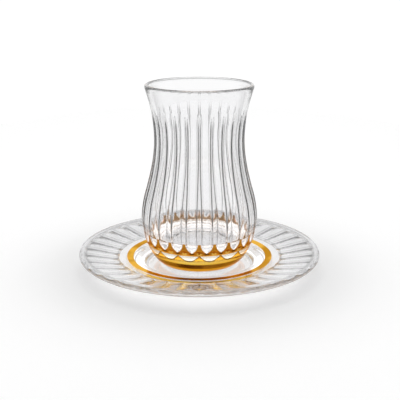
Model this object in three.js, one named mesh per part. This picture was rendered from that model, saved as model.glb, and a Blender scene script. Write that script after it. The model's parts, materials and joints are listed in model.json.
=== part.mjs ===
// A tulip-shaped tea glass with cut flutes, standing on its own glass saucer.
// Millimetres, +Z up, the table at z = 0, both pieces round about the Z axis.
import * as THREE from "three";

// The glass. Its heights are above its own foot.
const GLASS_FOOT_Z = 4.6; // the foot stands 0.3 clear of the saucer's well
const FLUTES = 24;
const FLUTE_HALF_WIDTH = 3.1;
const FLUTE_SHARE = 0.98; // the most of the space between two ridges that a flute takes
const FLUTE_SHOULDER = 0.9; // width of the slope at each side of its flat bed
const FLUTE_DEPTH = 0.55;
const FLUTE_START = 13.2;
const FLUTE_END = 83;
const FLUTE_ROUND_END = 4.6; // length of the rounded lower end
const FLUTE_ROUNDING = 0.8; // 0.5 rounds that end like a circle, 1 like a parabola
const FLUTE_FADE = 8; // length over which the upper end runs out
const WALL_AT_MOUTH = 2.5;
const WALL_LOWER_DOWN = 3.2;
const RIM_RADIUS = 1.1; // rounding of the fire-polished rim
const RIM_LIFT = 0.7; // centre of that rounding above the last point of the line
const FLOOR_INSIDE = 14.4;
const FLOOR_CORNER = 5; // rounding between the floor and the wall inside
const PUNT_RADIUS = 16.5; // shallow hollow under the foot
const PUNT_DEPTH = 0.8;
const FOOT_FLAT = 20.5; // outer radius of the flat that it stands on

// Outer line of the glass from foot to rim, as [radius, height].
const GLASS_LINE = [
  [21.4, 0.7],
  [23.9, 3],
  [26.4, 7],
  [28.7, 12.3],
  [30.2, 19],
  [30.75, 25],
  [29.6, 34],
  [27.2, 43],
  [25, 52.5],
  [23.8, 61],
  [23.6, 69],
  [24.5, 78.5],
  [26.2, 86.5],
  [28.2, 93.3],
];

// The saucer. Its heights are above the table.
const SAUCER_RADIUS = 64.4;
const SAUCER_EDGE = 1.55; // rounding of its edge
const SAUCER_EDGE_Z = 9.9; // centre of that rounding
const SPOKES = 35; // hollows pressed into the underside of its flange
const SPOKE_INNER = 43.5;
const SPOKE_OUTER = 61.5;
const SPOKE_DEPTH = 0.9;
const SPOKE_DEPTH_ABOVE = 0.25; // the same hollows show faintly on its upper side

// Upper line of the saucer from the edge in to the well, as [radius, height].
const SAUCER_TOP = [
  [62.6, 11.2],
  [50, 8.9],
  [39.2, 7.3],
  [33.4, 6.9],
  [31.4, 6.3],
  [29.6, 5],
  [27.4, 4.3],
];
// Lower line from the foot ring out to the edge.
const SAUCER_UNDER = [
  [38, 3.8],
  [SPOKE_INNER, 4.8],
  [52.5, 6.3],
  [SPOKE_OUTER, 8.1],
];
const FOOT_RING = [
  [30.6, 1.2],
  [31.4, 0.3],
  [32, 0],
  [34.6, 0],
  [35.2, 0.4],
  [36, 3.1],
];

// Where the round forms have their points, as parts of one turn. A flute has
// one on its ridge, one in its bed, and two on the slope at each side.
const PLAIN_TURN = evenTurn(1, divide(60));
const FLUTED_TURN = evenTurn(FLUTES, [0, 0.09, 0.2, 0.5, 0.8, 0.91]);
const SPOKED_TURN = evenTurn(SPOKES, [0, 0.25, 0.5, 0.75]);

function divide(count) {
  return Array.from({ length: count }, (_, i) => i / count);
}

function evenTurn(repeats, steps) {
  return divide(repeats).flatMap((start) => steps.map((step) => start + step / repeats));
}

function clamp01(v) {
  return Math.min(1, Math.max(0, v));
}

// A smooth line through [radius, height] pairs, in equal steps between them.
function lineThrough(pairs, steps) {
  const curve = new THREE.SplineCurve(pairs.map(([r, z]) => new THREE.Vector2(r, z)));
  return curve.getPoints(steps).map((p) => [p.x, p.y]);
}

// An arc in the profile plane. Angles are in degrees from the outward direction.
function arc(centreR, centreZ, radius, from, to, steps) {
  return [...divide(steps), 1].map((part) => {
    const angle = THREE.MathUtils.degToRad(from + (to - from) * part);
    return [centreR + radius * Math.cos(angle), centreZ + radius * Math.sin(angle)];
  });
}

// A ring of points about the Z axis, the first one in front. relief(part) gives
// how far a point moves outwards and upwards at that part of the turn.
function ring([r, z], turn = PLAIN_TURN, relief = () => [0, 0]) {
  const points = turn.map((part) => {
    const [outwards, upwards] = relief(part);
    const angle = (part - 0.25) * 2 * Math.PI;
    const radius = r + outwards;
    return [radius * Math.cos(angle), radius * Math.sin(angle), z + upwards];
  });
  return { turn, points };
}

// One closed solid from rings that run from the middle of its underside, up
// around its outside, to the middle of its upper side. Neighbouring rings can
// have different numbers of points.
function solidFromRings(rings, middleZ, endZ) {
  const points = [[0, 0, middleZ]];
  const faces = [];
  const first = rings.map((r) => points.push(...r.points) - r.points.length);
  const end = points.push([0, 0, endZ]) - 1;
  const index = (k, i) => first[k] + (i % rings[k].turn.length);
  const partOf = (k, i) => rings[k].turn[i] ?? 1;
  const last = rings.length - 1;

  rings[0].turn.forEach((_, i) => faces.push([0, index(0, i + 1), index(0, i)]));
  for (let k = 0; k < last; k++) {
    let i = 0;
    let j = 0;
    while (i < rings[k].turn.length || j < rings[k + 1].turn.length) {
      const onLower = i < rings[k].turn.length && partOf(k, i + 1) <= partOf(k + 1, j + 1);
      if (onLower || j === rings[k + 1].turn.length) {
        faces.push([index(k, i), index(k, i + 1), index(k + 1, j)]);
        i++;
      } else {
        faces.push([index(k, i), index(k + 1, j + 1), index(k + 1, j)]);
        j++;
      }
    }
  }
  rings[last].turn.forEach((_, i) => faces.push([index(last, i), index(last, i + 1), end]));

  const geometry = new THREE.BufferGeometry();
  geometry.setAttribute("position", new THREE.Float32BufferAttribute(points.flat(), 3));
  geometry.setIndex(faces.flat());
  geometry.computeVertexNormals();
  return geometry;
}

// How far the flutes are cut in around one ring. A ridge between two flutes
// faces the front. Each flute has a bed that follows the wall, a slope at each
// side and a rounded lower end.
function fluteRelief([r, z]) {
  const pitch = (2 * Math.PI * r) / FLUTES;
  const lower = clamp01((z - FLUTE_START) / FLUTE_ROUND_END);
  const grown = (1 - (1 - lower) ** 2) ** FLUTE_ROUNDING;
  const half = Math.min(FLUTE_HALF_WIDTH, (FLUTE_SHARE * pitch) / 2) * grown;
  const shoulder = Math.min(FLUTE_SHOULDER, half);
  const depth = FLUTE_DEPTH * grown * THREE.MathUtils.smoothstep(FLUTE_END - z, 0, FLUTE_FADE);
  return (part) => {
    const fromBed = Math.abs(((part * FLUTES) % 1) - 0.5) * pitch;
    return [half > 0 ? -depth * THREE.MathUtils.smoothstep(half - fromBed, 0, shoulder) : 0, 0];
  };
}

function glassGeometry() {
  const outside = lineThrough(GLASS_LINE, 25);
  const [mouthR, mouthZ] = outside[outside.length - 1];
  const fluted = ([, z]) => z > FLUTE_START - 1 && z < FLUTE_END + 1;
  const foot = [
    [PUNT_RADIUS, PUNT_DEPTH],
    [PUNT_RADIUS + 1.6, 0],
    [FOOT_FLAT, 0],
  ];
  const rim = arc(mouthR - RIM_RADIUS, mouthZ + RIM_LIFT, RIM_RADIUS, 0, 180, 5);

  const wallAt = (z) => THREE.MathUtils.mapLinear(
    clamp01((mouthZ - z) / 30), 0, 1, WALL_AT_MOUTH, WALL_LOWER_DOWN,
  );
  const cornerZ = FLOOR_INSIDE + FLOOR_CORNER;
  const inside = lineThrough(GLASS_LINE, 16)
    .filter(([, z]) => z > cornerZ + 1 && z < mouthZ - 1)
    .map(([r, z]) => [r - wallAt(z), z])
    .reverse();
  const [lowestR] = inside[inside.length - 1];
  const corner = arc(lowestR - FLOOR_CORNER - 0.5, cornerZ, FLOOR_CORNER, -10, -90, 4);

  const rings = [
    ...foot.map((p) => ring(p)),
    ...outside.map((p) => (fluted(p) ? ring(p, FLUTED_TURN, fluteRelief(p)) : ring(p))),
    ...[...rim, ...inside, ...corner].map((p) => ring(p)),
  ];
  const geometry = solidFromRings(rings, PUNT_DEPTH, FLOOR_INSIDE);
  return geometry.translate(0, 0, GLASS_FOOT_Z);
}

// Hollows pressed into the flange, round at both ends. A deepest of less than
// zero is a hollow in the upper side.
function spokeRelief([r], deepest) {
  const middle = (SPOKE_INNER + SPOKE_OUTER) / 2;
  const fromMiddle = (r - middle) / (SPOKE_OUTER - middle);
  const depth = deepest * Math.sqrt(clamp01(1 - fromMiddle ** 4));
  return (part) => {
    const fromBed = ((part * SPOKES) % 1) * 2 - 1;
    return [0, depth * (1 - fromBed * fromBed)];
  };
}

function saucerGeometry() {
  const under = lineThrough(SAUCER_UNDER, 8);
  const edge = arc(SAUCER_RADIUS - SAUCER_EDGE, SAUCER_EDGE_Z, SAUCER_EDGE, -60, 75, 5);
  const top = lineThrough(SAUCER_TOP, 9);
  const spoked = ([r]) => r > SPOKE_INNER - 1 && r < SPOKE_OUTER + 1;
  const flange = (p, deepest) =>
    spoked(p) ? ring(p, SPOKED_TURN, spokeRelief(p, deepest)) : ring(p);
  const rings = [
    ...FOOT_RING.map((p) => ring(p)),
    ...under.map((p) => flange(p, SPOKE_DEPTH)),
    ...edge.map((p) => ring(p)),
    ...top.map((p) => flange(p, -SPOKE_DEPTH_ABOVE)),
  ];
  return solidFromRings(rings, FOOT_RING[0][1], top[top.length - 1][1]);
}

function piece(name, geometry) {
  const clearGlass = new THREE.MeshStandardMaterial({
    color: 0xf4f8f8,
    roughness: 0.03,
    metalness: 0,
    transparent: true,
    opacity: 0.35,
  });
  const mesh = new THREE.Mesh(geometry, clearGlass);
  mesh.name = name;
  return mesh;
}

const set = new THREE.Group();
set.name = "tea_glass_and_saucer";
set.add(piece("tea_glass", glassGeometry()));
set.add(piece("saucer", saucerGeometry()));

export default set;
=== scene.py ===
import json
import math
from collections import namedtuple

import bpy
import numpy as np
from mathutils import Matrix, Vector

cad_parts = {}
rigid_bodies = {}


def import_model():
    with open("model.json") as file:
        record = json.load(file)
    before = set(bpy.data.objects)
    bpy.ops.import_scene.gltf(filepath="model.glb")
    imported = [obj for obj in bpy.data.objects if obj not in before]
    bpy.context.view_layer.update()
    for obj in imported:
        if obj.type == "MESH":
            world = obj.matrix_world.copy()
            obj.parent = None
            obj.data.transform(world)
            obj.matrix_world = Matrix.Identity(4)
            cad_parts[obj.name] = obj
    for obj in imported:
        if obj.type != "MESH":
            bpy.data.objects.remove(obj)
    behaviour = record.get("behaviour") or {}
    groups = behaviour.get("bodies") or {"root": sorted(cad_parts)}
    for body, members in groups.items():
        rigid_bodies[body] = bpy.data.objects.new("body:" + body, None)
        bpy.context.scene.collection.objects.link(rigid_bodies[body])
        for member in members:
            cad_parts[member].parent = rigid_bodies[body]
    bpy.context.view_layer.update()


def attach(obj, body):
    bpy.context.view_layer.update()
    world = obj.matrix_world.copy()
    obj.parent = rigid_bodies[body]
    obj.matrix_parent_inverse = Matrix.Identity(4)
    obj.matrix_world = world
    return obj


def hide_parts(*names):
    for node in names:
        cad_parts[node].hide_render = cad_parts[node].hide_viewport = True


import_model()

# A tulip-shaped tea glass with a fluted wall and a gilded foot, on its own
# glass saucer with pressed ribs and a gilded ring. Both pieces are measured in
# millimetres until their mesh is made, and the studio in metres. +Z is up from
# the table. A line is a list of (radius, height), and a tone is a share of grey painted in as shade.
MM = 0.001

# Camera
CAMERA_PLACE = (0.000346, -0.4164, 0.1556)
CAMERA_TILT = 0.2759
CAMERA_LENS = 73.24
CAMERA_SENSOR = 36.0

# The glass. Its heights are above its own foot.
GLASS_FOOT_Z = 4.6
GLASS_LINE = [
    (21.4, 0.7), (23.9, 3.0), (26.4, 7.0), (28.7, 12.3), (30.2, 19.0), (30.75, 25.0), (29.6, 34.0),
    (27.2, 43.0), (25.0, 52.5), (23.8, 61.0), (23.6, 69.0), (24.5, 78.5), (26.2, 86.5), (28.2, 93.3),
]
GLASS_UNDER = [
    (4.0, 0.8), (9.0, 0.8), (14.0, 0.78), (16.4, 0.6), (17.6, 0.15), (18.6, 0.0), (20.2, 0.0), (20.9, 0.22),
]
RIM_RADIUS = 1.08
RIM_LIFT = 0.65
# grey painted in as shade along the rim's bead, ring by ring
RIM_PAINTED_SHADE = [0.0, 0.6, 0.8, 0.1] + [0.0] * 7 + [0.1, 0.8, 0.6, 0.0]
WALL_AT_MOUTH = 2.5
WALL_LOWER_DOWN = 3.2
WALL_CHANGE = 30.0
FLOOR_INSIDE = 14.4
FLOOR_CORNER = 5.0
CORNER_INSET = 0.5

# The flutes in its wall
FLUTES = 24
FLUTE_HALF_WIDTH = 3.1
FLUTE_SHARE = 0.98
FLUTE_SHOULDER = 0.9
FLUTE_DEPTH = 0.55
FLUTE_FOOT = 13.2
FLUTE_ROUND = 4.6
FLUTE_ROUNDING = 0.8
FLUTE_TOP = 83.0
FLUTE_FADE = 8.0
BED_SHARE = 0.3  # of the points from a flute's middle to a ridge, those up to here are on its bed
SLOPE_SHARE = 0.9  # those from there to here on its slope, and the rest on the ridge

# The gold at its foot. It goes all round up to the flutes, and on up the ridges.
BAND_TOP = 7.7  # it is marked up to here when the glass is turned
GILT_FROM = 7.6  # and from here to its top by the flute tree
GILT_TOP = 18.4

# The shade painted grey along the flutes' flanks and at the wall's edges is at its full
# strength from this height up. At the feet of the flutes the flanks have a share of it.
WALL_FROM = 27.0
PAINTED_SHADE_AT_FOOT = 0.25

# How finely the glass is divided
LINE_STEPS = 400
PLAIN_POINTS = 120
FLUTE_POINTS = 20
FINE_FROM = 5.0
BAND_ROWS = 14
UPPER_FOOT_ROWS = 8
BELOW_FLUTES = 0.4
FLUTES_START = 0.1
FLUTE_END_ROW = 0.3
BODY_START = 0.5
FLUTE_ROW = 0.95
MOUTH_START = 1.2
MOUTH_ROWS = 9
RIM_STEPS = 14
INSIDE_GAP = 1.0
INSIDE_ROWS = 64
CORNER_ARC = (-8, -90)
CORNER_STEPS = 12
FLOOR_SHARES = (0.8, 0.55, 0.3)
INNER_WALL = 0.4  # the outer mark of the wall inside, where 1 is the wall outside

# The saucer. Its heights are above the table.
SAUCER_RADIUS = 64.37
SAUCER_EDGE = 1.55
SAUCER_EDGE_Z = 9.9
# grey painted in as shade along the saucer's edge, ring by ring
SAUCER_EDGE_PAINTED_SHADE = [0.0, 0.2, 0.5, 0.3, 0.0, 0.0, 0.0, 0.2, 0.5, 0.3, 0.0, 0.0, 0.0]
SAUCER_TOP = [
    (62.6, 11.2), (50.0, 8.9), (39.2, 7.3), (33.4, 6.9), (31.4, 6.3), (29.6, 5.0), (27.4, 4.3),
]
SAUCER_UNDER = [(38.0, 3.8), (43.5, 4.8), (52.5, 6.3), (61.5, 8.1)]
FOOT_RING = [
    (4.0, 1.2), (12.0, 1.2), (24.0, 1.2), (30.2, 1.2), (31.0, 0.7), (31.5, 0.2),
    (32.2, 0.0), (34.4, 0.0), (35.1, 0.3), (35.5, 1.2), (36.2, 3.2),
]
RING_INNER = 35.5
RING_OUTER = 39.0
WELL_EDGE = 27.5

# The hollows under its flange, which show faintly above
SPOKES = 35
SPOKE_INNER = 43.5
SPOKE_OUTER = 61.5
SPOKE_DEPTH = 0.9
SPOKE_ABOVE = 0.28
# grey painted in as shade along the ridges and the round ends of the hollows
SPOKE_SHADE_FROM = 0.8
SPOKE_PAINTED_SHADE = 0.6

# How finely the saucer is divided. A span is (first radius, last radius, rings).
SPOKE_POINTS = 14
FOOT_RING_POINTS = 70
UNDER_STEPS = 200
EDGE_ARC = (-60, 75)
EDGE_STEPS = 12
UNDER_SPANS = [(38.0, 43.3, 6), (43.5, 47.0, 16), (47.6, 59.0, 16), (59.3, 61.5, 10)]
FLANGE_SPANS = [(62.4, 59.3, 10), (59.0, 47.6, 16), (47.0, 43.4, 14), (43.0, 40.0, 5)]
RING_ROWS = 5
WELL_ROWS = 20
WELL_MIDDLE = (20.0, 12.0, 4.0)
JUST = 0.01  # a margin where a ring may lie on a limit, and a skin too slight to count

# Glass finishes
GLASS_TINT = (0.955, 0.955, 0.96)
SAUCER_TINT = (0.86, 0.86, 0.87)
GLASS_IOR = 1.52
# the dark grey painted in as shade along the flanks, ridges and edges
PAINTED_SHADE_COLOUR = (0.01, 0.01, 0.01)
# the wall's edges are painted with shade where the surface is seen at a slant
EDGE_FROM = 0.35
PAINTED_EDGE_SHADE = 0.6

# Gold finishes
RING_LIGHT = (0.78, 0.48, 0.07)
RING_DEEP = (0.48, 0.24, 0.015)
GOLD_EDGE = (1.0, 0.72, 0.48)
GOLD_PLAIN = (0.85, 0.38, 0.03)
# painted light and shade on the gold: pale crescents, dark lines and spots, and highlights
PAINTED_LIGHT_GOLD = (0.97, 0.93, 0.82)
PAINTED_SHADE_GOLD = (0.10, 0.03, 0.004)
PAINTED_HIGHLIGHT_GOLD = (1.0, 0.78, 0.25)
GOLD_BAND_AND_PAINTED_REFLECTIONS = [  # the band's colours by height above the foot of the glass: gold, with a painted reflection of shade as a dark band and a painted highlight above it
    (0.0, (0.85, 0.40, 0.03)), (2.7, (0.75, 0.34, 0.02)), (3.3, (0.14, 0.035, 0.002)),
    (5.5, (0.10, 0.025, 0.002)), (6.1, (1.0, 0.62, 0.08)), (7.3, (1.0, 0.72, 0.16)),
    (9.0, (0.95, 0.50, 0.05)), (12.2, (0.75, 0.32, 0.03)), (13.4, (0.50, 0.17, 0.01)),
    (18.0, (0.66, 0.28, 0.03)),
]
PATCHES = 0.3
PATCH_SCALE = 70.0
PATCH_NOISE = (0.35, 0.62)
RING_NOISE = (0.38, 0.66)
# crescents painted pale as bright light, each with a painted line of shade below it
CRESCENTS = 16
CRESCENT_LOW = 7.9
CRESCENT_RISE = 3.6
CRESCENT_TOP = 11.2
CRESCENT_SOFT = (0.1, 0.5)
CRESCENT_END = (0.0, 0.3)
LINE_SOFT = (0.15, 0.5)
LINE_END = (0.2, 0.6)
LINE_PAINTED_SHADE = 0.85
# a painted spot of shade below each flute and a painted highlight below each ridge
SPOT_HEIGHT = 12.5
SPOT_ASIDE = (0.08, 0.2)
SPOT_SOFT = (0.3, 0.7)
SPOT_PAINTED_SHADE = 0.85
SHINE_ASIDE = (0.28, 0.46)
SHINE_SOFT = (0.3, 1.0)
PAINTED_HIGHLIGHT_STRENGTH = 0.9
INSIDE_TOP = 11.8  # seen through the glass, the gold is painted with a pale reflection and a glow up to this height
GOLD_INSIDE = (0.34, 0.16, 0.004)
PAINTED_REFLECTION_INSIDE = (1.0, 0.98, 0.95)
INSIDE_SOFT = 0.5
# a glow painted on the gold seen from inside, though it is no lamp
PAINTED_GLOW_COLOUR = (0.96, 0.96, 1.0)
PAINTED_GLOW_STRENGTH = 0.28
NO_GLOW = (0.0, 0.0, 0.0)

# Marks and waves that polishing leaves, the wave heights in metres
GLASS_POLISH = {"Mark Scale": 90.0, "Wave Scale": 60.0, "Least Roughness": 0.0, "Most Roughness": 0.012}
FOOT_POLISH = {"Mark Scale": 260.0, "Wave Scale": 160.0, "Least Roughness": 0.08, "Most Roughness": 0.2}
RING_POLISH = {"Mark Scale": 260.0, "Wave Scale": 90.0, "Least Roughness": 0.1, "Most Roughness": 0.22}
GLASS_WAVES = 0.00002
GOLD_WAVES = 0.00003
MARK_NOISE = (0.45, 0.75)
MARK_DETAIL = 3.0
WAVE_DETAIL = 1.0

# Studio, in metres
PAPER_WHITE = 0.8
PAPER_GLOW = 0.2
TABLE_PAINTED_LIGHT_AND_SHADOW = [  # the glow of the table by distance from its middle, with a painted pool of light under the saucer and a painted shadow around its edge
    (0.0, 0.66), (0.030, 0.70), (0.050, 0.58), (0.064, 0.14), (0.076, 0.10), (0.095, 0.17),
    (0.125, PAPER_GLOW),
]
TABLE_HALF_WIDTH = 0.30
TABLE_HALF_DEPTH = 0.45
TABLE_MIDDLE_Y = 0.1
TABLE_SIDES = 96
SCREEN_GLOW = 0.31
SCREEN_DISTANCE = 0.95
SCREEN_HALF_WIDTH = 0.36
SCREEN_BOTTOM = -0.3
SCREEN_TOP = 0.75
SURROUND = 0.85
LIGHTS = [  # name, place, target, width, length, watts
    ("top_softbox", (0.0, 0.1, 0.9), (0.0, 0.1, 0.0), 0.7, 0.7, 1.5),
    ("left_strip", (-0.8, -0.1, 0.5), (0.0, 0.0, 0.05), 0.3, 0.8, 0.075),
    ("right_strip", (0.8, -0.1, 0.5), (0.0, 0.0, 0.05), 0.3, 0.8, 0.075),
]
LIGHT_BOUNCES = 24
GLOSSY_BOUNCES = 12

# One ring of a turned piece. Skin is the share of a tree's relief that it takes,
# gilt is gold, the edge tone is grey painted in as shade, and outer tells the wall outside from that inside.
Ring = namedtuple("Ring", "radius height points skin gilt tone outer", defaults=(0.0, False, 0.0, 0.0))


def smooth_line(pairs, steps):
    """A smooth line through (radius, height) pairs, in equal steps of its parameter."""
    p = np.array(pairs, float)
    out = []
    for k in range(steps + 1):
        at = (len(p) - 1) * k / steps
        i = min(int(at), len(p) - 2)
        t = at - i
        before, start, end, after = p[max(i - 1, 0)], p[i], p[i + 1], p[min(i + 2, len(p) - 1)]
        v0 = (end - before) / 2
        v1 = (after - start) / 2
        cubic = 2 * start - 2 * end + v0 + v1
        square = -3 * start + 3 * end - 2 * v0 - v1
        out.append(cubic * t**3 + square * t**2 + v0 * t + start)
    return np.array(out)


def radius_at(line, heights):
    return np.interp(heights, line[:, 1], line[:, 0])


def height_at(line, radii):
    return np.interp(radii, line[:, 0], line[:, 1])


def arc(centre_r, centre_z, radius, start, end, steps):
    angles = np.radians(np.linspace(start, end, steps + 1))
    return [(centre_r + radius * math.cos(a), centre_z + radius * math.sin(a)) for a in angles]


def spread(spans):
    return np.concatenate([np.linspace(*span) for span in spans])


def faces_between(a, points_a, b, points_b):
    """Faces from the ring that starts at vertex a to the one above it that starts at vertex b."""
    if points_a == points_b:
        return [(a + k, a + (k + 1) % points_a, b + (k + 1) % points_b, b + k) for k in range(points_a)]
    faces = []
    many, few = max(points_a, points_b), min(points_a, points_b)
    times = many // few
    for k in range(many):
        j = k // times
        following = (j + 1) % few
        nearest = j if k % times < times / 2 else following
        changes = k % times == (times - 1) // 2
        if points_a == many:
            faces.append((a + k, a + (k + 1) % many, b + nearest))
            if changes:
                faces.append((a + (k + 1) % many, b + following, b + j))
        else:
            faces.append((a + nearest, b + (k + 1) % many, b + k))
            if changes:
                faces.append((a + j, a + following, b + (k + 1) % many))
    return faces


def lathe(name, rings, first_z, last_z, base_z=0.0):
    """A closed mesh of rings, from the middle of the underside to the middle of the top. Each ring
    has as many points as the next, or a whole number of times more or fewer."""
    first = Ring(0.0, first_z, 1)
    last = Ring(0.0, last_z, 1)
    verts = []
    starts = []
    marks = {"skin": [], "tone": [], "outer": []}
    for ring in (first, *rings, last):
        starts.append(len(verts))
        for k in range(ring.points):
            angle = 2 * math.pi * k / ring.points - math.pi / 2
            x = ring.radius * math.cos(angle)
            y = ring.radius * math.sin(angle)
            verts.append((x * MM, y * MM, (ring.height + base_z) * MM))
        for label, values in marks.items():
            values += [getattr(ring, label)] * ring.points
    starts = starts[1:-1]
    end = len(verts) - 1

    lowest = rings[0].points
    faces = [(0, starts[0] + (k + 1) % lowest, starts[0] + k) for k in range(lowest)]
    gilt = [False] * lowest
    for lower, upper, a, b in zip(rings, rings[1:], starts, starts[1:]):
        between = faces_between(a, lower.points, b, upper.points)
        faces += between
        gilt += [lower.gilt and upper.gilt] * len(between)
    highest = rings[-1].points
    faces += [(starts[-1] + k, starts[-1] + (k + 1) % highest, end) for k in range(highest)]
    gilt += [False] * highest

    mesh = bpy.data.meshes.new(name)
    mesh.from_pydata(verts, [], faces)
    for label, values in marks.items():
        mesh.attributes.new(label, "FLOAT", "POINT").data.foreach_set("value", values)
    mesh.attributes.new("gilt", "BOOLEAN", "FACE").data.foreach_set("value", gilt)
    piece = bpy.data.objects.new(name, mesh)
    bpy.context.collection.objects.link(piece)
    return piece


class Nodes:
    """Adds nodes to one tree. A value is plain, or the output socket of another node."""

    def __init__(self, tree):
        self.tree = tree

    def put(self, socket, value):
        if isinstance(value, bpy.types.NodeSocket):
            self.tree.links.new(value, socket)
        else:
            socket.default_value = value

    def node(self, kind, inputs=(), **settings):
        made = self.tree.nodes.new(kind)
        for key, value in settings.items():
            setattr(made, key, value)
        for key, value in dict(inputs).items():
            self.put(made.inputs[key], value)
        return made

    def math(self, operation, *values):
        return self.node("ShaderNodeMath", enumerate(values), operation=operation).outputs[0]

    def product(self, first, *others):
        for other in others:
            first = self.math("MULTIPLY", first, other)
        return first

    def map(self, value, start, end, low, high, kind="LINEAR"):
        values = enumerate((value, start, end, low, high))
        return self.node("ShaderNodeMapRange", values, interpolation_type=kind).outputs[0]

    def smooth(self, value, start, end, low, high):
        return self.map(value, start, end, low, high, "SMOOTHSTEP")

    def axes(self, place):
        return self.node("ShaderNodeSeparateXYZ", {0: place}).outputs

    def from_axis(self, axes):
        """The distance from the upright axis."""
        squares = [self.product(axis, axis) for axis in (axes[0], axes[1])]
        return self.math("SQRT", self.math("ADD", *squares))

    def parts_of_turn(self, axes, parts):
        """How far round from the front a place lies, in equal parts of a turn."""
        angle = self.math("ARCTAN2", axes[0], self.product(axes[1], -1.0))
        return self.math("DIVIDE", self.product(angle, parts), 2 * math.pi)


class ShapeTree(Nodes):
    """A geometry node tree with two materials and named sizes, for a piece of glass with gold on it."""

    def __init__(self, name, sizes):
        super().__init__(bpy.data.node_groups.new(name, "GeometryNodeTree"))
        face = self.tree.interface
        face.new_socket("Geometry", in_out="INPUT", socket_type="NodeSocketGeometry")
        face.new_socket("Geometry", in_out="OUTPUT", socket_type="NodeSocketGeometry")
        self.ids = {}
        kinds = {"Glass": "NodeSocketMaterial", "Gold": "NodeSocketMaterial"}
        for label in ("Glass", "Gold", *sizes):
            kind = kinds.get(label, "NodeSocketFloat")
            self.ids[label] = face.new_socket(label, in_out="INPUT", socket_type=kind).identifier
        self.own = self.node("NodeGroupInput").outputs
        self.end = self.node("NodeGroupOutput")

    def attribute(self, name, kind="FLOAT"):
        made = self.node("GeometryNodeInputNamedAttribute", {"Name": name}, data_type=kind)
        return made.outputs["Attribute"]

    def store(self, geometry, name, value, kind="FLOAT", domain="POINT"):
        return self.node("GeometryNodeStoreNamedAttribute", {
            "Geometry": geometry, "Name": name, "Value": value,
        }, data_type=kind, domain=domain).outputs[0]

    def finish(self, geometry):
        real = self.node("GeometryNodeRealizeInstances", {"Geometry": geometry}).outputs[0]
        even = self.node("GeometryNodeSetShadeSmooth", {"Geometry": real}).outputs[0]
        glass = self.node("GeometryNodeSetMaterial", {
            "Geometry": even, "Material": self.own["Glass"],
        }).outputs[0]
        gold = self.node("GeometryNodeSetMaterial", {
            "Geometry": glass, "Selection": self.attribute("gilt", "BOOLEAN"), "Material": self.own["Gold"],
        }).outputs[0]
        self.put(self.end.inputs[0], gold)

    def shape(self, piece, values):
        """Runs the tree on the piece with these inputs, and keeps the result as its plain mesh."""
        step = piece.modifiers.new(self.tree.name, "NODES")
        step.node_group = self.tree
        for label, value in values.items():
            step[self.ids[label]] = value
        bpy.context.view_layer.update()
        settled = piece.evaluated_get(bpy.context.evaluated_depsgraph_get())
        shaped = bpy.data.meshes.new_from_object(settled)
        piece.modifiers.remove(step)
        piece.data = shaped
        shaped.name = piece.name


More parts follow.
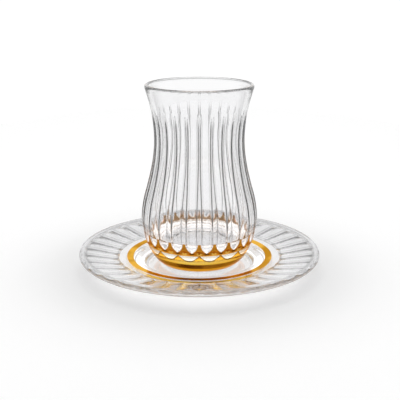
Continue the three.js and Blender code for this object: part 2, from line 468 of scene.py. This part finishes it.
def flute_tree():
    """Upright flutes around a wall, each with a bed that follows the wall, smooth slopes, a rounded
    foot and a top that runs out, and gold on the ridges between their feet. It also marks where
    the finish paints shade along the flanks and at the wall's edges."""
    t = ShapeTree("flutes in the wall", [
        "Flutes", "Half Width", "Widest Share", "Shoulder", "Depth", "Foot Height", "Foot Round",
        "Top Height", "Top Fade", "Rounding", "Gilt From", "Gilt To", "Wall From",
    ])
    own = t.own
    axes = t.axes(t.node("GeometryNodeInputPosition").outputs[0])
    height = axes[2]
    across = t.from_axis(axes)
    turns = t.parts_of_turn(axes, own["Flutes"])
    middle = t.math("ADD", t.math("FLOOR", t.math("ADD", turns, 1e-4)), 0.5)
    part = t.product(t.math("SUBTRACT", turns, middle), 2.0)
    reach = t.math("MINIMUM", t.math("ABSOLUTE", part), 1.0)
    half_pitch = t.math("DIVIDE", t.product(across, math.pi), own["Flutes"])

    # the half width at this height, round at the foot of the flute
    widest = t.math("MINIMUM", own["Half Width"], t.product(half_pitch, own["Widest Share"]))
    above = t.math("DIVIDE", t.math("SUBTRACT", height, own["Foot Height"]), own["Foot Round"])
    below = t.math("SUBTRACT", 1.0, t.node("ShaderNodeClamp", {"Value": above}).outputs[0])
    rounding = t.math("POWER", t.math("SUBTRACT", 1.0, t.product(below, below)), own["Rounding"])
    half = t.math("MAXIMUM", t.product(widest, rounding), 1e-5)
    shoulder = t.math("MINIMUM", own["Shoulder"], half)

    # how far this point lies from the flute's middle, over its bed, slope and ridge
    over_bed = t.map(reach, 0.0, BED_SHARE, 0.0, t.math("SUBTRACT", half, shoulder))
    over_slope = t.map(reach, BED_SHARE, SLOPE_SHARE, 0.0, shoulder)
    over_ridge = t.map(reach, SLOPE_SHARE, 1.0, 0.0, t.math("SUBTRACT", half_pitch, half))
    from_middle = t.math("ADD", t.math("ADD", over_bed, over_slope), over_ridge)
    inside = t.math("DIVIDE", t.math("SUBTRACT", half, from_middle), shoulder)
    fade = t.smooth(t.math("SUBTRACT", own["Top Height"], height), 0.0, own["Top Fade"], 0.0, 1.0)
    grown = t.math("MINIMUM", t.math("DIVIDE", half, widest), 1.0)
    cut = t.product(own["Depth"], fade, t.smooth(inside, 0.0, 1.0, 0.0, 1.0), grown)
    radius = t.math("SUBTRACT", across, cut)
    turned = t.math(
        "ADD", t.product(middle, t.math("DIVIDE", 2 * math.pi, own["Flutes"])),
        t.math("DIVIDE", t.product(t.math("SIGN", part), from_middle), across),
    )
    place = t.node("ShaderNodeCombineXYZ", {
        0: t.product(radius, t.math("SINE", turned)),
        1: t.product(radius, t.math("COSINE", turned), -1.0),
        2: height,
    }).outputs[0]
    chosen = t.math("GREATER_THAN", t.attribute("skin"), 0.5)

    # how steep the wall is here, 1 in the middle of a slope, kept for the shade that the finish paints along
    # the flanks
    part_up = t.node("ShaderNodeClamp", {"Value": inside}).outputs[0]
    steep = t.product(part_up, t.math("SUBTRACT", 1.0, part_up), 4.0)
    lower = t.map(height, own["Foot Height"], own["Wall From"], PAINTED_SHADE_AT_FOOT, 1.0)
    painted_shade = t.math("ADD", t.product(steep, chosen, fade, grown, lower), t.attribute("tone"))
    # where the finish paints shade at the wall's edges
    either_side = t.math("GREATER_THAN", t.attribute("outer"), INNER_WALL / 2)
    wall = t.product(either_side, t.map(height, own["Gilt To"], own["Wall From"], 0.0, 1.0))
    marked = t.store(own["Geometry"], "wall", wall)
    marked = t.store(marked, "painted_shade", painted_shade)

    # the gold reaches up between the rounded feet of the flutes
    outside = t.math("GREATER_THAN", t.attribute("outer"), 0.5)
    over = t.math("GREATER_THAN", height, own["Gilt From"])
    under = t.math("LESS_THAN", height, own["Gilt To"])
    on_ridge = t.math("GREATER_THAN", reach, SLOPE_SHARE)
    land = t.math("MAXIMUM", on_ridge, t.math("LESS_THAN", height, own["Foot Height"]))
    painted = t.product(outside, over, under, land)
    both = t.node("FunctionNodeBooleanMath", {0: t.attribute("gilt", "BOOLEAN"), 1: painted}, operation="OR")
    marked = t.store(marked, "gilt", both.outputs[0], "BOOLEAN", "FACE")
    t.finish(t.node("GeometryNodeSetPosition", {
        "Geometry": marked, "Selection": chosen, "Position": place,
    }).outputs[0])
    return t


def spoke_tree():
    """Hollows pressed into a flange, round at both ends, with ridges between them. It marks the
    ridges and the ends for the lines of shade that the finish paints.
    """
    t = ShapeTree("ribs under the flange", [
        "Ribs", "Inner Radius", "Outer Radius", "Depth", "Line From", "Line",
    ])
    own = t.own
    axes = t.axes(t.node("GeometryNodeInputPosition").outputs[0])
    turns = t.parts_of_turn(axes, own["Ribs"])
    part = t.math("SUBTRACT", t.product(t.math("FRACT", turns), 2.0), 1.0)
    trough = t.math("SUBTRACT", 1.0, t.product(part, part))
    along = t.map(t.from_axis(axes), own["Inner Radius"], own["Outer Radius"], -1.0, 1.0)
    along = t.math("ABSOLUTE", along)
    ends = t.math("SQRT", t.math("SUBTRACT", 1.0, t.math("POWER", along, 4.0)))
    skin = t.attribute("skin")
    lift = t.product(own["Depth"], trough, ends, skin)
    offset = t.node("ShaderNodeCombineXYZ", {2: lift}).outputs[0]

    # the ridges and the round ends of the hollows, kept for the lines of shade that the finish paints there
    nearest = t.math("MAXIMUM", t.math("ABSOLUTE", part), along)
    line = t.smooth(nearest, own["Line From"], 1.0, 0.0, own["Line"])
    line = t.product(line, t.math("GREATER_THAN", t.math("ABSOLUTE", skin), JUST))
    lined = t.store(own["Geometry"], "painted_shade", t.math("ADD", line, t.attribute("tone")))
    t.finish(t.node("GeometryNodeSetPosition", {"Geometry": lined, "Offset": offset}).outputs[0])
    return t


def polished_skin():
    """Faint hand marks and waviness of a polished surface: its roughness and a height for bump."""
    group = bpy.data.node_groups.new("polished skin", "ShaderNodeTree")
    for label in GLASS_POLISH:
        group.interface.new_socket(label, in_out="INPUT", socket_type="NodeSocketFloat")
    for label in ("Roughness", "Height"):
        group.interface.new_socket(label, in_out="OUTPUT", socket_type="NodeSocketFloat")
    n = Nodes(group)
    own = n.node("NodeGroupInput").outputs
    where = n.node("ShaderNodeTexCoord").outputs["Object"]
    marks = n.node("ShaderNodeTexNoise", {
        "Vector": where, "Scale": own["Mark Scale"], "Detail": MARK_DETAIL,
    }).outputs["Fac"]
    waves = n.node("ShaderNodeTexNoise", {
        "Vector": where, "Scale": own["Wave Scale"], "Detail": WAVE_DETAIL,
    }).outputs["Fac"]
    roughness = n.map(marks, *MARK_NOISE, own["Least Roughness"], own["Most Roughness"])
    n.node("NodeGroupOutput", {"Roughness": roughness, "Height": waves})
    return group


class Finish(Nodes):
    """A material built around its own Principled BSDF."""

    def __init__(self, name, values):
        self.material = bpy.data.materials.new(name)
        self.material.use_nodes = True
        super().__init__(self.material.node_tree)
        self.shader = self.tree.nodes["Principled BSDF"].inputs
        self.set(values)

    def set(self, values):
        for label, value in values.items():
            self.put(self.shader[label], value)

    def polish(self, values, wave_height):
        skin = self.node("ShaderNodeGroup", values, node_tree=POLISH).outputs
        bump = self.node("ShaderNodeBump", {
            "Strength": 1.0, "Distance": wave_height, "Height": skin["Height"],
        })
        self.set({"Roughness": skin["Roughness"], "Normal": bump.outputs["Normal"]})
        return skin["Height"]

    def attribute(self, name):
        return self.node("ShaderNodeAttribute", attribute_name=name).outputs["Fac"]

    def blend(self, factor, low, high):
        """Goes from one colour to the other with the factor."""
        made = self.node("ShaderNodeMix", {0: factor}, data_type="RGBA")
        for socket, colour in ((made.inputs[6], low), (made.inputs[7], high)):
            self.put(socket, colour if isinstance(colour, bpy.types.NodeSocket) else (*colour, 1.0))
        return made.outputs[2]

    def ramp(self, value, stops, interpolation="LINEAR"):
        """The colour between the nearest two of the stops, which are (value, colour)."""
        span = stops[-1][0]
        made = self.node("ShaderNodeValToRGB", {0: self.math("DIVIDE", value, span)})
        made.color_ramp.interpolation = interpolation
        points = made.color_ramp.elements
        while len(points) < len(stops):
            points.new(0.5)
        for point, (at, colour) in zip(points, stops):
            point.position = at / span
            point.color = (*colour, 1.0)
        return made.outputs[0]


def glass_finish(name, tint):
    """Clear glass, with shade painted in grey along the flanks and ridges that its mesh marks and at
    the edge of a wall where it is seen at a slant.
    """
    f = Finish(name, {"Transmission Weight": 1.0, "Metallic": 0.0, "IOR": GLASS_IOR})
    f.polish(GLASS_POLISH, GLASS_WAVES)
    # painted shade: grey along the marked flanks, ridges and edges, and at the wall's edges where it is seen
    # at a slant
    facing = f.node("ShaderNodeLayerWeight", {"Blend": 0.5}).outputs["Facing"]
    edge = f.product(f.smooth(facing, EDGE_FROM, 1.0, 0.0, PAINTED_EDGE_SHADE), f.attribute("wall"))
    shade = f.math("MAXIMUM", f.attribute("painted_shade"), edge)
    f.set({"Base Color": f.blend(shade, tint, PAINTED_SHADE_COLOUR)})
    return f.material


def gold(name):
    return Finish(name, {"Metallic": 1.0, "Specular Tint": (*GOLD_EDGE, 1.0)})


def ring_finish():
    """Fired gold, deeper in soft patches."""
    f = gold("gilded ring")
    patchy = f.smooth(f.polish(RING_POLISH, GOLD_WAVES), *RING_NOISE, 0.0, 1.0)
    f.set({"Base Color": f.blend(patchy, RING_LIGHT, RING_DEEP)})
    return f.material


def foot_finish():
    """Burnished gold with a painted reflection of shade as a dark band below a painted highlight at
    its upper edge, and crescents painted pale as bright light above that. Seen from inside the glass
    it is painted with a pale reflection and a glow, with a line of gold along the top."""
    f = gold("gilded foot")
    f.polish(FOOT_POLISH, GOLD_WAVES)
    where = f.node("ShaderNodeTexCoord").outputs["Object"]
    axes = f.axes(where)
    height = f.math("SUBTRACT", f.math("DIVIDE", axes[2], MM), GLASS_FOOT_Z)
    patches = f.node("ShaderNodeTexNoise", {"Vector": where, "Scale": PATCH_SCALE}).outputs["Fac"]
    patchy = f.smooth(patches, *PATCH_NOISE, 0.0, PATCHES)
    base = f.blend(patchy, f.ramp(height, GOLD_BAND_AND_PAINTED_REFLECTIONS), GOLD_PLAIN)

    # a row of crescents painted pale as bright light, each with a line of painted shade along its lower side
    part = f.math("FRACT", f.parts_of_turn(axes, CRESCENTS))
    across = f.product(f.math("SUBTRACT", part, 0.5), 2.0)
    low = f.math("ADD", f.product(across, across, CRESCENT_RISE), CRESCENT_LOW)
    over = f.math("SUBTRACT", height, low)
    over_top = f.math("SUBTRACT", height, CRESCENT_TOP)
    pale = f.product(f.smooth(over, *CRESCENT_SOFT, 0.0, 1.0), f.smooth(over_top, *CRESCENT_END, 1.0, 0.0))
    base = f.blend(pale, base, PAINTED_LIGHT_GOLD)
    line = f.smooth(f.math("ABSOLUTE", over), *LINE_SOFT, LINE_PAINTED_SHADE, 0.0)
    line = f.product(line, f.smooth(over_top, *LINE_END, 1.0, 0.0))
    base = f.blend(line, base, PAINTED_SHADE_GOLD)

    # a spot of painted shade below each flute and a painted highlight below each ridge
    turn = f.math("FRACT", f.parts_of_turn(axes, FLUTES))
    aside = f.math("ABSOLUTE", f.math("SUBTRACT", turn, 0.5))
    away = f.math("ABSOLUTE", f.math("SUBTRACT", height, SPOT_HEIGHT))
    shade_spot = f.product(f.smooth(aside, *SPOT_ASIDE, SPOT_PAINTED_SHADE, 0.0), f.smooth(away, *SPOT_SOFT, 1.0, 0.0))
    base = f.blend(shade_spot, base, PAINTED_SHADE_GOLD)
    painted_highlight = f.smooth(aside, *SHINE_ASIDE, 0.0, PAINTED_HIGHLIGHT_STRENGTH)
    painted_highlight = f.product(painted_highlight, f.smooth(away, *SHINE_SOFT, 1.0, 0.0))
    base = f.blend(painted_highlight, base, PAINTED_HIGHLIGHT_GOLD)

    # seen from inside, a darker gold, and below the top a painted pale reflection with a painted glow
    within = f.node("ShaderNodeNewGeometry").outputs["Backfacing"]
    base = f.blend(within, base, GOLD_INSIDE)
    pale = f.product(f.smooth(height, INSIDE_TOP, INSIDE_TOP + INSIDE_SOFT, 1.0, 0.0), within)
    f.set({
        "Base Color": f.blend(pale, base, PAINTED_REFLECTION_INSIDE),
        "Emission Color": f.blend(pale, NO_GLOW, PAINTED_GLOW_COLOUR),
        "Emission Strength": PAINTED_GLOW_STRENGTH,
    })
    return f.material


def paper(name, glow):
    return Finish(name, {
        "Base Color": (PAPER_WHITE, PAPER_WHITE, PAPER_WHITE, 1.0),
        "Roughness": 0.9, "Specular IOR Level": 0.1,
        "Emission Color": (1.0, 1.0, 1.0, 1.0), "Emission Strength": glow,
    })


def tea_glass():
    outside = smooth_line(GLASS_LINE, LINE_STEPS)
    mouth_r, mouth_z = outside[-1]
    fluted = FLUTES * FLUTE_POINTS
    band = np.linspace(GLASS_LINE[0][1], BAND_TOP, BAND_ROWS)
    upper_foot = np.linspace(BAND_TOP, FLUTE_FOOT - BELOW_FLUTES, UPPER_FOOT_ROWS)[1:]
    ends = np.arange(FLUTE_FOOT - FLUTES_START, FLUTE_FOOT + FLUTE_ROUND, FLUTE_END_ROW)
    body = np.arange(ends[-1] + BODY_START, FLUTE_TOP + BODY_START, FLUTE_ROW)
    mouth = np.linspace(body[-1] + MOUTH_START, mouth_z, MOUTH_ROWS)

    def outer_ring(z, points, **marks):
        return Ring(radius_at(outside, z), z, points, outer=1.0, **marks)

    rings = [Ring(r, z, PLAIN_POINTS) for r, z in GLASS_UNDER]
    rings += [outer_ring(z, fluted if z > FINE_FROM else PLAIN_POINTS, gilt=True) for z in band]
    rings += [outer_ring(z, fluted) for z in upper_foot]
    rings += [outer_ring(z, fluted, skin=1.0) for z in (*ends, *body)]
    rings += [outer_ring(mouth[0], fluted)]
    rings += [outer_ring(z, 2 * PLAIN_POINTS) for z in mouth[1:]]
    bead = arc(mouth_r - RIM_RADIUS, mouth_z + RIM_LIFT, RIM_RADIUS, 0, 180, RIM_STEPS)
    # the rim's bead, with grey painted in as shade along it
    rings += [Ring(r, z, 2 * PLAIN_POINTS, tone=tone) for (r, z), tone in zip(bead, RIM_PAINTED_SHADE)]

    corner_z = FLOOR_INSIDE + FLOOR_CORNER
    heights = np.linspace(mouth_z - INSIDE_GAP, corner_z + INSIDE_GAP, INSIDE_ROWS)
    wall = np.interp(mouth_z - heights, [0, WALL_CHANGE], [WALL_AT_MOUTH, WALL_LOWER_DOWN])
    radii = radius_at(outside, heights) - wall
    rings += [Ring(r, z, PLAIN_POINTS, outer=INNER_WALL) for r, z in zip(radii, heights)]
    corner_r = radii[-1] - FLOOR_CORNER - CORNER_INSET
    corner = arc(corner_r, corner_z, FLOOR_CORNER, *CORNER_ARC, CORNER_STEPS)
    rings += [Ring(r, z, PLAIN_POINTS) for r, z in corner]
    rings += [Ring(corner[-1][0] * share, FLOOR_INSIDE, PLAIN_POINTS) for share in FLOOR_SHARES]

    piece = lathe("glass_body", rings, GLASS_UNDER[0][1], FLOOR_INSIDE, GLASS_FOOT_Z)
    flute_tree().shape(piece, {
        "Glass": CLEAR_GLASS, "Gold": GILDED_FOOT, "Flutes": float(FLUTES),
        "Half Width": FLUTE_HALF_WIDTH * MM, "Widest Share": FLUTE_SHARE, "Shoulder": FLUTE_SHOULDER * MM,
        "Depth": FLUTE_DEPTH * MM, "Foot Height": (GLASS_FOOT_Z + FLUTE_FOOT) * MM,
        "Foot Round": FLUTE_ROUND * MM, "Top Height": (GLASS_FOOT_Z + FLUTE_TOP) * MM,
        "Top Fade": FLUTE_FADE * MM, "Rounding": FLUTE_ROUNDING,
        "Gilt From": (GLASS_FOOT_Z + GILT_FROM) * MM, "Gilt To": (GLASS_FOOT_Z + GILT_TOP) * MM,
        "Wall From": (GLASS_FOOT_Z + WALL_FROM) * MM,
    })
    return piece


def saucer():
    ribbed = SPOKES * SPOKE_POINTS
    under = smooth_line(SAUCER_UNDER, UNDER_STEPS)
    top = smooth_line(SAUCER_TOP, LINE_STEPS)[::-1]
    edge = arc(SAUCER_RADIUS - SAUCER_EDGE, SAUCER_EDGE_Z, SAUCER_EDGE, *EDGE_ARC, EDGE_STEPS)

    rings = [Ring(r, z, FOOT_RING_POINTS) for r, z in FOOT_RING]
    for r in spread(UNDER_SPANS):
        on_ribs = r > SPOKE_INNER - JUST
        rings.append(Ring(r, height_at(under, r), ribbed, skin=float(on_ribs)))
    # the saucer's edge, with grey painted in as shade along it
    rings += [Ring(r, z, ribbed, tone=tone) for (r, z), tone in zip(edge, SAUCER_EDGE_PAINTED_SHADE)]
    for r in spread(FLANGE_SPANS):
        on_ribs = SPOKE_INNER - JUST < r < SPOKE_OUTER + JUST
        rings.append(Ring(r, height_at(top, r), ribbed, skin=-SPOKE_ABOVE if on_ribs else 0.0))
    ring_radii = np.linspace(RING_OUTER, RING_INNER, RING_ROWS)
    well_radii = np.linspace(RING_INNER, WELL_EDGE, WELL_ROWS)[1:]
    rings += [Ring(r, height_at(top, r), ribbed // 2, gilt=True) for r in ring_radii]
    rings += [Ring(r, height_at(top, r), ribbed // 2) for r in well_radii]
    rings += [Ring(r, SAUCER_TOP[-1][1], SPOKES) for r in WELL_MIDDLE]

    piece = lathe("saucer_body", rings, FOOT_RING[0][1], SAUCER_TOP[-1][1])
    spoke_tree().shape(piece, {
        "Glass": SAUCER_GLASS, "Gold": GILDED_RING, "Ribs": float(SPOKES),
        "Inner Radius": SPOKE_INNER * MM, "Outer Radius": SPOKE_OUTER * MM, "Depth": SPOKE_DEPTH * MM,
        "Line From": SPOKE_SHADE_FROM, "Line": SPOKE_PAINTED_SHADE,
    })
    return piece


def stage_mesh(name, verts, finish):
    mesh = bpy.data.meshes.new(name)
    mesh.from_pydata(verts, [], [tuple(range(len(verts)))])
    mesh.materials.append(finish.material)
    made = bpy.data.objects.new(name, mesh)
    bpy.context.collection.objects.link(made)


def table_and_screen():
    """An oval pale table top lit from within, with a painted pool of light under the saucer and a
    painted shadow around the saucer's edge, and a white screen far behind it."""
    top = paper("white table", PAPER_GLOW)
    place = top.node("ShaderNodeTexCoord").outputs["Object"]
    away = top.node("ShaderNodeVectorMath", {0: place}, operation="LENGTH").outputs["Value"]
    stops = [(at, (glow, glow, glow)) for at, glow in TABLE_PAINTED_LIGHT_AND_SHADOW]
    top.set({"Emission Strength": top.ramp(away, stops, "B_SPLINE")})
    angles = [2 * math.pi * k / TABLE_SIDES for k in range(TABLE_SIDES)]
    stage_mesh("table_top", [
        (TABLE_HALF_WIDTH * math.cos(a), TABLE_HALF_DEPTH * math.sin(a) + TABLE_MIDDLE_Y, 0.0)
        for a in angles
    ], top)
    left, right = -SCREEN_HALF_WIDTH, SCREEN_HALF_WIDTH
    stage_mesh("back_screen", [
        (left, SCREEN_DISTANCE, SCREEN_BOTTOM), (right, SCREEN_DISTANCE, SCREEN_BOTTOM),
        (right, SCREEN_DISTANCE, SCREEN_TOP), (left, SCREEN_DISTANCE, SCREEN_TOP),
    ], paper("white screen", SCREEN_GLOW))


def area_light(name, place, target, width, length, power):
    light = bpy.data.lights.new(name, "AREA")
    light.shape = "RECTANGLE"
    light.size = width
    light.size_y = length
    light.energy = power
    lamp = bpy.data.objects.new(name, light)
    bpy.context.collection.objects.link(lamp)
    lamp.location = place
    lamp.rotation_euler = (Vector(target) - Vector(place)).to_track_quat("-Z", "Y").to_euler()


def studio():
    camera = bpy.data.cameras.new("camera")
    camera.lens = CAMERA_LENS
    camera.sensor_width = CAMERA_SENSOR
    camera.clip_start = 0.01
    stand = bpy.data.objects.new("camera", camera)
    bpy.context.collection.objects.link(stand)
    stand.location = CAMERA_PLACE
    stand.rotation_euler = (math.pi / 2 - CAMERA_TILT, 0.0, 0.0)
    scene = bpy.context.scene
    scene.camera = stand
    scene.view_settings.view_transform = "Standard"
    scene.cycles.max_bounces = LIGHT_BOUNCES
    scene.cycles.transmission_bounces = LIGHT_BOUNCES
    scene.cycles.glossy_bounces = GLOSSY_BOUNCES
    world = bpy.data.worlds.new("studio air")
    scene.world = world
    world.use_nodes = True
    world.node_tree.nodes["Background"].inputs[0].default_value = (SURROUND, SURROUND, SURROUND, 1.0)
    table_and_screen()
    for light in LIGHTS:
        area_light(*light)


POLISH = polished_skin()
CLEAR_GLASS = glass_finish("clear glass", GLASS_TINT)
SAUCER_GLASS = glass_finish("saucer glass", SAUCER_TINT)
GILDED_RING = ring_finish()
GILDED_FOOT = foot_finish()

studio()
glass_piece = tea_glass()
saucer_piece = saucer()
for piece, node, finish in (
    (glass_piece, "tea_glass", "clear_glass"),
    (saucer_piece, "saucer", "saucer_glass"),
):
    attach(piece, "root")
    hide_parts(node)
